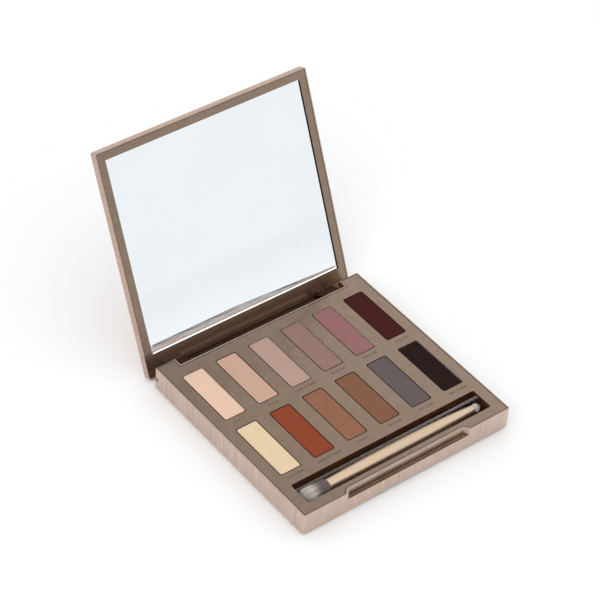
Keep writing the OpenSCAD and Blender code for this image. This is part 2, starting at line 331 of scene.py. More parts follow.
def tinted(hex_colour, painted_light_gain):
    """A colour with each linear channel multiplied by a gain, which is painted light or shade."""
    return (*(np.array(tone(hex_colour)[:3]) * painted_light_gain).clip(0, 1).tolist(), 1)


def grained_case(name, spans, painted_light_gain, turn=0.0):
    """Metallised rose coat whose threads lie along the longest of the three spans. Its colours are multiplied
    by a gain, which is painted light or shade.
    """
    material, tree, shader = new_material(name, Metallic=1.0)
    fine = stretched_noise(tree, spans, detail=3.0, turn=turn, roughness=0.75)
    wide = stretched_noise(tree, tuple(5 * s for s in spans), detail=2.0, turn=turn)
    threads = ramp(tree, fine, [(0.28, tinted("A78C7B", painted_light_gain)), (0.44, tinted("C0A798", painted_light_gain)),
                                (0.56, tinted("C9B2A4", painted_light_gain)), (0.72, tinted("E8DCD2", painted_light_gain))])
    patches = ramp(tree, wide, [(0.38, tinted("BFA393", painted_light_gain)), (0.62, tinted("CBBDB0", painted_light_gain))])
    mixed = add(tree, "MixRGB", {"Fac": 0.25, "Color1": threads, "Color2": patches})
    painted(tree, shader, "Base Color", mixed.outputs["Color"])
    gloss = add(tree, "MapRange", {"Value": wide, "To Min": 0.32, "To Max": 0.42})
    painted(tree, shader, "Roughness", gloss.outputs["Result"])
    bumped(tree, shader, fine, 0.05, 0.35)
    return material


def smooth_coat(name, dark, light, turn=0.0):
    """Metallised coat where the moulding is polished: it mirrors almost sharply."""
    material, tree, shader = new_material(name, Metallic=1.0)
    cloud = stretched_noise(tree, (6, 6, 6), detail=2.0, turn=turn)
    painted(tree, shader, "Base Color", ramp(tree, cloud, [(0.35, tone(dark)), (0.65, tone(light))]))
    gloss = add(tree, "MapRange", {"Value": cloud, "To Min": 0.16, "To Max": 0.26})
    painted(tree, shader, "Roughness", gloss.outputs["Result"])
    bumped(tree, shader, stretched_noise(tree, (0.8, 0.8, 0.8), turn=turn), 0.01, 0.3)
    return material


# Painted light and shade: the base's coat is lifted, and the lid's copy of the same coat is darkened and
# reddened.
base_painted_light = np.array([1.07, 1.09, 1.09])
lid_painted_shade = np.array([0.95, 0.87, 0.83])
thread_w, thread_l = 0.42, 30
upright_thread = (thread_w, thread_w, thread_l)
lengthwise_thread = (thread_w, thread_l, thread_w)
wall_grain = grained_case("rose coat, upright grain", upright_thread, base_painted_light)
flat_grain = grained_case("rose coat, lengthwise grain", lengthwise_thread, base_painted_light)
lid_wall_grain = grained_case("rose coat of the lid, upright grain", upright_thread, lid_painted_shade,
                              -stand_angle)
lid_flat_grain = grained_case("rose coat of the lid, lengthwise grain", lengthwise_thread, lid_painted_shade,
                              -stand_angle)
base_smooth = smooth_coat("rose coat, polished", "AF9A8A", "BAA696")
lid_smooth = smooth_coat("rose coat of the lid, polished", "AF9A8A", "BAA696", -stand_angle)
# Painted light: the hinge notch gets a lighter copy of the polished rose coat.
notch_painted_light = smooth_coat("rose coat in the hinge notch, painted light", "CDB4A4", "D8C2B4")
# Painted shade: the hinge block's coat is a dark brown copy, for the shade in the gap under the bezel.
hinge_block_painted_shade = smooth_coat("rose coat on the hinge block, painted shade", "4E3125", "5C3D30")

# Painted shade: faces deep in narrow gaps and grooves, and the mirror's cut edge, are painted near black for
# the shadow there.
material, tree, shader = new_material("painted shade in gaps", Specular_IOR_Level=0.15)
gap_shade_mottle = stretched_noise(tree, (1.5, 1.5, 1.5), detail=2.0)
painted(tree, shader, "Base Color", ramp(tree, gap_shade_mottle, [(0.3, tone("17100C")), (0.7, tone("241A14"))]))
gloss = add(tree, "MapRange", {"Value": gap_shade_mottle, "To Min": 0.6, "To Max": 0.8})
painted(tree, shader, "Roughness", gloss.outputs["Result"])
gap_painted_shade = material
print("case: four grained, four polished and a seam material")

# %% [markdown]
# ## Panel finish
# Tray and bezel wear a darker taupe metallic coat. It is nearly plain, with long faint figures like
# the growth rings of wood that only show where they catch the light. Folding a slow noise into bands
# gives the figures. The coat is a metal, which is why deep corners go dark brown: there it mirrors
# only itself, and each reflection takes its colour again. The colour is painted lighter towards the
# right, as painted light. Near the hinge the bezel's metal share falls, which lightens its lower strip
# as painted light, and the trough's walls and floor are painted dark brown as painted shade.

# %% Taupe panel material


def taupe_panel(name, turn=0.0, painted_light_right=0.0, painted_light_below=None):
    """Metallised taupe coat with a fine pebble and faint ring figures, which are bands of a slow
    noise. Along X the colour is scaled by a share that drifts from 0.94 to 1 plus an extra share for
    the right side: painted light. Below a given height, if there is one, the metal falls from 1 to 0.86
    over 15 mm, which lightens the strip below as painted light."""
    material, tree, shader = new_material(name, Metallic=1.0)
    slow = stretched_noise(tree, (60, 45, 50), detail=1.5, turn=turn)
    bands = add(tree, "Math", {0: slow, 1: 14.0}, operation="MULTIPLY").outputs["Value"]
    rings = add(tree, "Math", {0: bands}, operation="PINGPONG").outputs["Value"]
    pebble = stretched_noise(tree, (0.75, 0.75, 0.75), detail=2.0, turn=turn)
    figure = add(tree, "MixRGB", {"Fac": 0.8, "Color1": rings, "Color2": pebble}).outputs["Color"]
    colour = ramp(tree, figure, [(0.2, tone("80705F")), (0.5, tone("917D6D")), (0.8, tone("9E8C7D"))])
    place = add(tree, "SeparateXYZ", {"Vector": add(tree, "TexCoord").outputs["Object"]})
    # Painted light: the colour grows lighter along X, towards the right.
    painted_light_along_x = add(tree, "MapRange", {"Value": place.outputs["X"], "From Min": -65 * MM, "From Max": 70 * MM,
                                   "To Min": 0.94, "To Max": 1.0 + painted_light_right}).outputs["Result"]
    toned = add(tree, "VectorMath", {0: colour, "Scale": painted_light_along_x}, operation="SCALE")
    painted(tree, shader, "Base Color", toned.outputs["Vector"])
    # Painted light: below the given height a lower metal share lightens the bezel's strip near the hinge.
    if painted_light_below:
        metal = add(tree, "MapRange", {"Value": place.outputs["Z"], "From Min": painted_light_below - 15 * MM,
                                       "From Max": painted_light_below, "To Min": 0.86})
        painted(tree, shader, "Metallic", metal.outputs["Result"])
    gloss = add(tree, "MapRange", {"Value": pebble, "To Min": 0.16, "To Max": 0.26})
    painted(tree, shader, "Roughness", gloss.outputs["Result"])
    bumped(tree, shader, figure, 0.02, 0.3)
    return material


# Both coats are painted lighter towards the right, and the bezel's coat is also lightened below 45 mm. All of
# this is painted light.
tray_coat = taupe_panel("taupe coat", painted_light_right=0.13)
bezel_coat = taupe_panel("taupe coat of the lid", -stand_angle, painted_light_below=45 * MM)

# Painted shade: the trough's walls and floor are painted dark brown for the shade deep in the trough.
material, tree, shader = new_material("painted shade in the trough", Metallic=0.35)
patches = stretched_noise(tree, (9, 4, 4), detail=2.0)
painted(tree, shader, "Base Color", ramp(tree, patches, [(0.3, tone("4C2B18")), (0.7, tone("5C3822"))]))
gloss = add(tree, "MapRange", {"Value": patches, "To Min": 0.3, "To Max": 0.45})
painted(tree, shader, "Roughness", gloss.outputs["Result"])
trough_painted_shade = material

# %% [markdown]
# ## Moulded case parts
# The case parts already have their right shape, but a computer model's edges are sharper than
# any moulding's, and a perfectly sharp edge never catches light. Each case part is copied, its
# loose triangles are joined into a clean skin, and a small rounding is cut along every edge. Each
# face's finish is chosen by where it lies: within a skin of the outside, in the band along the
# front, in the hinge notch between the ears, or within a wall of a well.

# %% Soften the case parts


def softened(node, body, width_mm, materials, pick):
    """A copy of a frame part with rounded edges. Equal points are merged, flat neighbours are joined
    into whole faces, and each edge sharper than 30 degrees gets a rounding width_mm wide. Pick
    chooses each face's material from its centre and normal."""
    built = bmesh.new()
    built.from_mesh(nodes[node].data)
    bmesh.ops.remove_doubles(built, verts=built.verts, dist=1e-6)
    bmesh.ops.dissolve_limit(built, angle_limit=radians(0.3), verts=built.verts, edges=built.edges)
    mesh = bpy.data.meshes.new(node + "_moulded")
    built.to_mesh(mesh)
    built.free()
    for material in materials:
        mesh.materials.append(material)
    normals, centres = (np.zeros(len(mesh.polygons) * 3) for _ in range(2))
    mesh.polygons.foreach_get("normal", normals)
    mesh.polygons.foreach_get("center", centres)
    chosen = pick(centres.reshape(-1, 3), normals.reshape(-1, 3))
    mesh.polygons.foreach_set("material_index", chosen.astype(np.int32))
    piece = bpy.data.objects.new(node + "_moulded", mesh)
    bpy.context.scene.collection.objects.link(piece)
    mesh.shade_smooth()
    rounding = piece.modifiers.new("rounded edges", "BEVEL")
    rounding.width = width_mm * MM
    rounding.segments = 2
    rounding.limit_method = "ANGLE"
    rounding.angle_limit = radians(30)
    rounding.face_strength_mode = "FSTR_AFFECTED"
    flats = piece.modifiers.new("flat faces stay flat", "WEIGHTED_NORMAL")
    flats.use_face_influence = True
    flats.keep_sharp = True
    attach(piece, body)
    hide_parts(node)
    return piece


case_half = corners_of("base_shell")[1][:2]
rim_top = corners_of("base_shell")[1][2]
below_rim = rim_top - 0.3 * MM
skin = 0.45 * MM
front_band = 4.5 * MM
notch_d, notch_in = 9 * MM, 8 * MM
block_in = 5 * MM
wells = [corners_of(f"pan_{number:02d}") for number in range(1, 13)] + [corners_of("brush_sleeve")]
well_wall = 1.7 * MM


def base_finish(centres, normals):
    """0 upright grain on the outer walls, 1 lengthwise grain underneath, 3 the darker taupe coat on the
    floor of the thumb recess as painted shade, 4 painted shade on the rim's inner faces, 5 hinge notch,
    a lighter copy as painted light, 2 polished everywhere else."""
    x, y, z = centres.T
    upright = np.abs(normals[:, 2]) < 0.5
    outside = (np.abs(centres[:, :2]) > case_half - skin).any(1) & upright
    to_middle = upright & ((centres[:, :2] * normals[:, :2]).sum(1) < 0)
    inward = to_middle & (np.abs(y) < case_half[1] - front_band)
    inward |= upright & (normals[:, 1] > 0.9) & (y < 0) & ~outside
    recess = (y < front_band - case_half[1]) & (normals[:, 2] > 0.9) & (z < below_rim)
    notch = (y > case_half[1] - notch_d) & (np.abs(x) < case_half[0] - notch_in) & (z < below_rim)
    # Painted shade on the rim's inner faces (4) and on the recess floor (3); painted light in the notch (5).
    chosen = np.where(notch, 5, np.where(inward, 4, np.where(recess, 3, 2)))
    return np.where(normals[:, 2] < -0.8, 1, np.where(outside, 0, chosen))


def closed_view(centres, normals):
    """A lid part's face centres and normals turned back to the closed position."""
    return turn_lid(centres, -stand_angle), turn_lid(normals + hinge_place, -stand_angle) - hinge_place


def lid_finish(centres, normals):
    """The same choice for the lid in its closed position: 0 walls, 1 lid's back, 2 polished, 3 hinge
    block, painted dark as painted shade, 4 painted shade on the lip's inner faces."""
    closed, facing = closed_view(centres, normals)
    x, y, z = closed.T
    upright = np.abs(facing[:, 2]) < 0.5
    outside = (np.abs(closed[:, :2]) > case_half - skin).any(1) & upright
    inward = upright & ((closed[:, :2] * facing[:, :2]).sum(1) < 0)
    seam = 0.4 * MM
    block = (y > 0) & (np.abs(x) < case_half[0] - block_in) & (z < rim_top + seam)
    chosen = np.where(block, 3, np.where(inward, 4, 2))
    return np.where(facing[:, 2] > 0.5, 1, np.where(outside & ~block, 0, chosen))


def tray_finish(centres, normals):
    """0 taupe, 1 painted shade on the tray's outer side faces, which are upright and not in a well or
    the trough, 2 painted dark brown shade on the trough's walls and floor."""
    upright = np.abs(normals[:, 2]) < 0.3
    in_well = [((centres > low - well_wall) & (centres < high + well_wall))[:, :2].all(1)
               for low, high in wells]
    pan_top = wells[0][1][2]
    trough = in_well[-1] & (centres[:, 2] < pan_top - 0.5 * MM)
    return np.where(trough, 2, np.where(upright & ~np.any(in_well, 0), 1, 0))


def bezel_finish(centres, normals):
    """0 taupe, 1 painted shade on the bezel's side faces."""
    return (np.abs(closed_view(centres, normals)[1][:, 2]) < 0.3).astype(int)


case_base = softened("base_shell", "base", 0.08,
                     [wall_grain, flat_grain, base_smooth, tray_coat, gap_painted_shade, notch_painted_light], base_finish)
case_lid = softened("lid_shell", "lid", 0.08,
                    [lid_wall_grain, lid_flat_grain, lid_smooth, hinge_block_painted_shade, gap_painted_shade], lid_finish)
tray = softened("base_tray", "base", 0.05, [tray_coat, gap_painted_shade, trough_painted_shade], tray_finish)
bezel = softened("lid_frame", "lid", 0.05, [bezel_coat, gap_painted_shade], bezel_finish)
print("moulded parts:", [len(p.data.polygons) for p in (case_base, case_lid, tray, bezel)], "faces")

# %% [markdown]
# ## Mirror
# The mirror is a sheet of glass, silvered at the back, with a narrow ground bevel round its face.
# A profile from back to bevel to face, carried round the rectangle, gives plate and bevel at once.
# Glass bends light towards its thick side, so the bevel along the bottom gathers the bright sky
# and shows as a white line: here a painted highlight, its material glowing a little. The cut edge
# behind it is dark, as painted shade.

# %% Silvered glass
material, tree, shader = new_material("silvered glass", Metallic=1.0)
breath = stretched_noise(tree, (45, 45, 45), detail=2.0)
painted(tree, shader, "Base Color", ramp(tree, breath, [(0.3, tone("EDF2F5")), (0.7, tone("F0F4F6"))]))
haze = add(tree, "MapRange", {"Value": breath, "To Min": 0.0, "To Max": 0.008})
painted(tree, shader, "Roughness", haze.outputs["Result"])
mirror_finish = material

# Painted highlight: the bottom bevel's white line glows a little.
material, tree, shader = new_material("painted highlight on the bevel", Specular_IOR_Level=0.6, Emission_Strength=0.7)
grit = stretched_noise(tree, (0.3, 0.3, 0.3), detail=2.0)
clear = ramp(tree, grit, [(0.3, tone("F2F6F8")), (0.7, tone("FDFEFE"))])
painted(tree, shader, "Base Color", clear)
painted(tree, shader, "Emission Color", clear)
gloss = add(tree, "MapRange", {"Value": grit, "To Min": 0.1, "To Max": 0.2})
painted(tree, shader, "Roughness", gloss.outputs["Result"])
bevel_painted_highlight = material

low, high = corners_of("mirror_glass", closed=True)
bevel_w, bevel_drop, chamfer, corner_radius = 1.0 * MM, 0.2 * MM, 0.05 * MM, 0.3 * MM
thickness = high[2] - low[2]
profile = [(chamfer, thickness), (0, thickness - chamfer), (0, bevel_drop), (bevel_w, 0)]
points, faces = carried_round(profile, high[0] - low[0], high[1] - low[1], corner_radius, per_corner=4)
points += ((low[0] + high[0]) / 2, (low[1] + high[1]) / 2, low[2])
points = turn_lid(points, stand_angle)
faces = [face[::-1] for face in faces]
mirror = place_piece("bevelled_mirror", points, faces, "lid", mirror_finish, ["mirror_glass"],
                     smooth=5)
for material in (gap_painted_shade, bevel_painted_highlight):
    mirror.data.materials.append(material)
# The first two rings of faces are the cut edge. The third is the bevel, and its fourth face runs
# along the hinge side, which is the bottom when the lid stands open.
around = len(points) // len(profile)
bottom_bevel = 2 * around + 3
# The cut edge gets painted shade, and the bottom bevel gets the painted highlight.
edge_finish = np.zeros(len(faces), np.int32)
edge_finish[:2 * around] = 1
edge_finish[bottom_bevel] = 2
mirror.data.polygons.foreach_set("material_index", edge_finish)
print("mirror face", np.round((high - low)[:2] / MM, 1), "mm")

# %% [markdown]
# ## Tin pans
# Each powder sits in a small tin pan pressed from thin sheet. The wall section goes up outside, over
# a half-round rim, down inside and across the floor. The outer wall and rim are painted near black
# as painted shade, so the slot round each pan reads as a dark line. In five pans the tin shows inside
# the rim, and in four of these the powder also lies a little deeper, so the rim shows as a hair-thin
# shining line.

# %% Pans
material, tree, shader = new_material("bright tin", Metallic=1.0)
drawn = stretched_noise(tree, (3, 3, 0.25), detail=3.0)
painted(tree, shader, "Base Color", ramp(tree, drawn, [(0.3, tone("C4C2BF")), (0.7, tone("E9E7E4"))]))
gloss = add(tree, "MapRange", {"Value": drawn, "To Min": 0.16, "To Max": 0.32})
painted(tree, shader, "Roughness", gloss.outputs["Result"])
bumped(tree, shader, drawn, 0.02, 0.3)
tin = material

# Painted shade: each pan's outer wall and rim are near black, so the slot round it reads as a dark line.
material, tree, shader = new_material("painted shade on the pans", Specular_IOR_Level=0.12)
pan_shade_mottle = stretched_noise(tree, (2, 2, 0.5), detail=2.0)
painted(tree, shader, "Base Color", ramp(tree, pan_shade_mottle, [(0.3, tone("140E0B")), (0.7, tone("1E1612"))]))
gloss = add(tree, "MapRange", {"Value": pan_shade_mottle, "To Min": 0.4, "To Max": 0.6})
painted(tree, shader, "Roughness", gloss.outputs["Result"])
lacquer = material

sheet_t, pan_radius = 0.2 * MM, 1.4 * MM
rim_turn = np.linspace(0, pi, 7)
pan_foot = [(0.25 * MM, 0), (0.07 * MM, 0.07 * MM), (0, 0.25 * MM)]


def pan_profile(height):
    """Outer wall up, half-round rim, inner wall down to the floor, as (inset, height) points."""
    rim_r = sheet_t / 2
    rim = np.stack([rim_r - rim_r * np.cos(rim_turn), height - rim_r + rim_r * np.sin(rim_turn)], -1)
    return np.concatenate([pan_foot, rim, [(sheet_t, sheet_t)]])


def inside_rows(points, faces, profile, shows_tin):
    """1, tin, for faces from the last third of the rim's turn inwards, 0, painted shade, for the outer
    wall and the underside. Unless the rim shows tin, only the floor is tin."""
    around = len(points) // len(profile)
    row = np.arange(len(faces)) // around
    crest = len(pan_foot) + len(rim_turn) - 3
    inner = ((row >= crest) & shows_tin).astype(np.int32)
    inner[-2:] = (0, 1)
    return inner


# Pans whose rim shows tin instead of painted shade, and how many millimetres deeper their powder lies.
shining_rim_pans = {1: 0.0, 3: 0.1, 4: 0.16, 5: 0.12, 12: 0.12}
for number in range(1, 13):
    node = f"pan_{number:02d}"
    low, high = corners_of(node)
    size = high - low
    profile = pan_profile(size[2])
    points, faces = carried_round(profile, size[0], size[1], pan_radius)
    points += ((low[0] + high[0]) / 2, (low[1] + high[1]) / 2, low[2])
    pan = place_piece(f"tin_{node}", points, faces, "base", lacquer, [node])
    pan.data.materials.append(tin)
    finish = inside_rows(points, faces, profile, number in shining_rim_pans)
    pan.data.polygons.foreach_set("material_index", finish)
print("pans:", np.round(size / MM, 2), "mm each")

# %% [markdown]
# ## Pressed powder
# Powder is pressed into the pan by a flat punch. The surface is matte and slightly grainy, with
# a tiny fall at the border where the punch clears the pan. Colour is not quite even: pigment and
# binder leave clouds a few millimetres wide and specks a fifth of a millimetre wide. Powders
# scatter light back towards it, so a soft sheen at grazing angles helps. Two shades have mica in
# them, which is a share of metal, and glitter a little. For each pan whose rim shows tin, a table
# says how many millimetres deeper its powder lies.

# %% Powders
shades = ["E6C3AC", "CBA592", "B7988B", "95756A", "986B6A", "431B19",
          "E3CAA7", "8C432B", "90644D", "825A44", "675C5C", "231412"]
mica = {11: 0.3, 5: 0.1}
cake_radius = 1.2 * MM


def pressed_powder(number, shade):
    """Matte pigment: a base shade with clouds and specks, rough, with a grainy relief."""
    material, tree, shader = new_material(f"powder {number:02d}", Metallic=mica.get(number, 0.0),
                                          Specular_IOR_Level=0.08, Sheen_Weight=0.02, Sheen_Roughness=0.5)
    middle = np.array(tone(shade))
    dark = (*(middle[:3] * 0.93).tolist(), 1)
    light = (*np.minimum(middle[:3] * 1.06, 1).tolist(), 1)
    clouds = stretched_noise(tree, (7, 7, 7), detail=2.0)
    specks = stretched_noise(tree, (0.22, 0.22, 0.22), detail=2.0, roughness=0.8)
    both = add(tree, "MixRGB", {"Fac": 0.75, "Color1": clouds, "Color2": specks}).outputs["Color"]
    painted(tree, shader, "Base Color", ramp(tree, both, [(0.35, dark), (0.5, tuple(middle)), (0.65, light)]))
    matte = add(tree, "MapRange", {"Value": specks, "To Min": 0.7 - mica.get(number, 0), "To Max": 0.9})
    painted(tree, shader, "Roughness", matte.outputs["Result"])
    bumped(tree, shader, specks, 0.05, 0.5)
    return material


for number, shade in enumerate(shades, 1):
    node = f"powder_{number:02d}"
    low, high = corners_of(node)
    size = high - low
    top = size[2] - shining_rim_pans.get(number, 0) * MM
    fall = np.array([(0, 0.28), (0.06, 0.14), (0.2, 0.05), (0.45, 0.012), (0.9, 0)]) * MM
    profile = [(0, 0)] + [(inset, top - drop) for inset, drop in fall]
    points, faces = carried_round(profile, size[0], size[1], cake_radius)
    points += ((low[0] + high[0]) / 2, (low[1] + high[1]) / 2, low[2])
    place_piece(f"pressed_{node}", points, faces, "base", pressed_powder(number, shade), [node])
print("powders:", len(shades))

# %% [markdown]
# ## Shade numbers
# A faint printed mark under each pan names its shade. Here it is a plain number between two
# rows of upright ticks. Blender's built-in type makes the figures; they are turned into a mesh at
# once, and the ticks are thin rectangles.

# %% Printed marks
mark_w = np.array([7, 7, 14, 9.5, 10, 8, 11.5, 16, 6.5, 10, 10, 13]) * MM
mark_h, mark_gap, print_t = 1.7 * MM, 4.7 * MM, 0.012 * MM
tick_w, tick_low, tick_high, tick_pitch = 0.4 * MM, 0.1 * MM, 1.5 * MM, 0.8 * MM
first_tick = 2.3 * MM
cap_height = 0.72


def figures(text, height):
    """The flat outline of a text as (points, faces), centred, with figures of the given height."""
    curve = bpy.data.curves.new("figures", "FONT")
    curve.body = text
    curve.size = height / cap_height
    curve.align_x = "CENTER"
    curve.resolution_u = 3
    drawn = bpy.data.objects.new("figures", curve)
    mesh = bpy.data.meshes.new_from_object(drawn)
    points = np.array([v.co for v in mesh.vertices])
    faces = [list(f.vertices) for f in mesh.polygons]
    bpy.data.objects.remove(drawn)
    bpy.data.meshes.remove(mesh)
    return points, faces


def strip(x0, x1, y0, y1):
    """A flat rectangle."""
    return np.array([(x0, y0, 0), (x1, y0, 0), (x1, y1, 0), (x0, y1, 0)]), [[0, 1, 2, 3]]


tray_top = corners_of("base_tray")[1][2]
all_points, all_faces, count = [], [], 0
for number in range(1, 13):
    low, high = corners_of(f"pan_{number:02d}")
    centre = ((low[0] + high[0]) / 2, low[1] - mark_gap, tray_top + print_t)
    half = mark_w[number - 1] / 2
    shapes = [figures(f"{number:02d}", mark_h)]
    for side in (-1, 1):
        for at in np.arange(first_tick, half, tick_pitch) * side:
            shapes.append(strip(at - tick_w / 2, at + tick_w / 2, tick_low, tick_high))
    for points, faces in shapes:
        all_points.append(points + centre)
        all_faces += [[i + count for i in face] for face in faces]
        count += len(points)

material, tree, shader = new_material("grey print", Roughness=0.6, Specular_IOR_Level=0.2)
worn = stretched_noise(tree, (0.4, 0.4, 0.4), detail=3.0)
painted(tree, shader, "Base Color", ramp(tree, worn, [(0.35, tone("4A433E")), (0.7, tone("5C544C"))]))
place_piece("shade_numbers", np.concatenate(all_points), all_faces, "base", material, smooth=0)
print("marks:", count, "points")

# %% [markdown]
# ## Brush handle
# A turned and lacquered handle, thickest two fifths along and slimmer at both ends. Its radius
# comes from the same rule as the model's: it falls with the square of the distance on the short side
# and with the cube on the long side. A socket is sunk into each end for the hair. The lacquer is
# champagne with a pearl base, so it is nearly all metal under a thin clear coat.

# %% Handle
low, high = corners_of("brush_handle")
brush_axis = (low + high) / 2
handle_r = (high[2] - low[2]) / 2
handle_x, handle_l = low[0], high[0] - low[0]


def swell(t):
    """Share of the full radius at t, from 0 at the large head to 1 at the small head."""
    return np.where(t < 0.4, 1 - (0.4 - t) ** 2, 1 - 1.9 * np.maximum(t - 0.4, 0) ** 3)


along = np.linspace(0, 1, 90)[1:-1]
big_r, small_r = handle_r * float(swell(0)), handle_r * float(swell(1))
body_line = np.stack([handle_x + handle_l * along, handle_r * swell(along)], -1)
handle_end = handle_x + handle_l
turn = np.linspace(0, pi / 2, 6)
round_r = 0.3 * MM
inwards, drawn_in = round_r * (1 - np.sin(turn)), round_r * (1 - np.cos(turn))
first_edge = np.stack([handle_x + inwards, big_r - drawn_in], -1)[::-1]
last_edge = np.stack([handle_end - inwards, small_r - drawn_in], -1)
socket, big_lip, small_lip = 6 * MM, 0.5 * MM, 0.45 * MM
profile = np.concatenate([
    [(handle_x + socket, big_r - big_lip), (handle_x, big_r - big_lip)],
    first_edge, body_line, last_edge,
    [(handle_end, small_r - small_lip), (handle_end - socket, small_r - small_lip)]])
points, faces = spun(profile, brush_axis, 72)

material, tree, shader = new_material("champagne lacquer", Metallic=0.92, Coat_Weight=0.25,
                                      Coat_Roughness=0.1)
streaks = stretched_noise(tree, (40, 0.8, 0.8), detail=3.0)
painted(tree, shader, "Base Color", ramp(tree, streaks, [(0.3, tone("D8BC9F")), (0.7, tone("E6CDB2"))]))
gloss = add(tree, "MapRange", {"Value": streaks, "To Min": 0.3, "To Max": 0.4})
painted(tree, shader, "Roughness", gloss.outputs["Result"])
bumped(tree, shader, streaks, 0.02, 0.2)
place_piece("lacquered_handle", points, faces, "brush", material, ["brush_handle"],
            smooth=50)
print("handle:", round(handle_l / MM, 1), "mm long,", round(2 * handle_r / MM, 2), "mm thick")

# %% [markdown]
# ## Bristles
# A brush head is a bundle of fine fibres that leave the socket side by side, spread a little
# and end on a dome. Each fibre is a thin three-sided taper, so thousands stay cheap. A
# fibre keeps its share of the bundle's radius all the way: the bundle's outline says how far out the
# outermost ones are, and the rest scale down. The large head is dark plum at the root and
# bleached silver at the tips; the small pencil head is plain white.

# %% Fibres
golden_turn = 2.39996


def fibre_bundle(root, tip, outline, count, thick, seed, ends):
    """Fibres from x=root to x=tip as one mesh. A fibre's distance from the axis is its share of the
    outline's radius at that length. The shares are the square roots of evenly spaced numbers, which
    spreads them evenly over the disc, and the turn grows by the golden angle. A fibre at share s
    stops where the dome does: at ends(s) of the full length, less up to a tenth. Returns points,
    faces, and for each point its share of the length and its fibre's tone."""
    random = np.random.default_rng(seed)
    sides = 3
    order = np.arange(count)
    share = np.sqrt((order + 0.5) / count)
    angle = order * golden_turn + random.normal(0, 0.12, count)
    stop = ends(share) * random.uniform(0.9, 1.0, count)
    steps = np.linspace(0, 1, 8)
    t = stop[:, None] * steps
    wander = random.normal(0, 0.045, (count, 1)) * steps ** 2
    reach = (share[:, None] + wander) * np.interp(t, outline[:, 0], outline[:, 1])
    lean = angle[:, None] + random.normal(0, 0.07, (count, 1)) * steps
    centre_x = root + (tip - root) * t
    centre_y = brush_axis[1] + reach * np.cos(lean)
    centre_z = brush_axis[2] + reach * np.sin(lean)
    size = thick * (1 - 0.75 * steps ** 2) * random.uniform(0.75, 1.2, (count, 1))
    corner = np.arange(sides) * 2 * pi / sides
    y = centre_y[..., None] + size[..., None] * np.cos(corner)
    z = centre_z[..., None] + size[..., None] * np.sin(corner)
    x = np.repeat(centre_x[..., None], sides, -1)
    points = np.stack([x, y, z], -1).reshape(-1, 3)
    ring, side = np.meshgrid(np.arange(len(steps) - 1), np.arange(sides), indexing="ij")
    near, far = ring * sides + side, ring * sides + (side + 1) % sides
    quads = np.stack([near, far, far + sides, near + sides], -1).reshape(-1, 4)
    if tip < root:
        quads = quads[:, ::-1]
    per_fibre = len(steps) * sides
    faces = (quads[None] + (order * per_fibre)[:, None, None]).reshape(-1, 4)
    caps = np.array([[per_fibre - 3, per_fibre - 2, per_fibre - 1]])
    if tip < root:
        caps = caps[:, ::-1]
    caps = (caps[None] + (order * per_fibre)[:, None, None]).reshape(-1, 3)
    length_share = np.repeat(t[..., None], sides, -1).reshape(-1)
    clump = 0.5 + 0.25 * np.sin(9 * angle + 5 * share) + 0.25 * np.sin(23 * angle)
    fibre_tone = np.repeat(0.45 * random.uniform(0, 1, count) + 0.55 * clump, per_fibre)
    return points, faces.tolist() + caps.tolist(), length_share, fibre_tone


def store(piece, name, values):
    """Keeps one number for each vertex as an attribute that a material can read."""
    attribute = piece.data.attributes.new(name, "FLOAT", "POINT")
    attribute.data.foreach_set("value", values.astype(np.float32))


def fibre_material(name, stops, sheen):
    """Hair colour along the length, moved a little up or down for each fibre, with a soft gloss."""
    material, tree, shader = new_material(name, Roughness=0.42, Specular_IOR_Level=0.4, Sheen_Weight=sheen)
    length = add(tree, "Attribute", attribute_name="length_share").outputs["Fac"]
    own = add(tree, "Attribute", attribute_name="fibre_tone").outputs["Fac"]
    moved = add(tree, "MapRange", {"Value": own, "To Min": -0.07, "To Max": 0.07}).outputs["Result"]
    place = add(tree, "Math", {0: length, 1: moved}, operation="ADD").outputs["Value"]
    colour = ramp(tree, place, stops)
    shade = add(tree, "MapRange", {"Value": own, "From Min": 0.15, "From Max": 0.85,
                                   "To Min": 0.55, "To Max": 1.3}).outputs["Result"]
    toned = add(tree, "VectorMath", {0: colour, "Scale": shade}, operation="SCALE")
    painted(tree, shader, "Base Color", toned.outputs["Vector"])
    return material


sunk = 4 * MM
low, high = corners_of("bristles_large")
head_r = (high[2] - low[2]) / 2
large_root, large_tip = handle_x + sunk, low[0]
root_share = sunk / (large_root - large_tip)
bundle_r = big_r - 0.6 * MM
outline = np.array([(0, bundle_r), (root_share - 0.01, bundle_r), (root_share + 0.03, head_r * 0.88),
                    (0.45, head_r * 0.92), (0.65, head_r * 0.97), (0.8, head_r * 0.98), (1.0, head_r * 0.93)])
points, faces, length_share, fibre_tone = fibre_bundle(
    large_root, large_tip, outline, count=4200, thick=0.085 * MM, seed=5,
    ends=lambda share: 0.985 - 0.13 * share ** 4)
dark_to_silver = fibre_material("duo fibre", [(0.0, tone("5C4644")), (0.44, tone("7C645D")),
                                              (0.56, tone("C8BAB0")), (0.66, tone("FFF7EE"))], 0.5)
large_head = place_piece("fibres_large", points, faces, "brush", dark_to_silver, ["bristles_large"],
                         smooth=0)
store(large_head, "length_share", length_share)
store(large_head, "fibre_tone", fibre_tone)

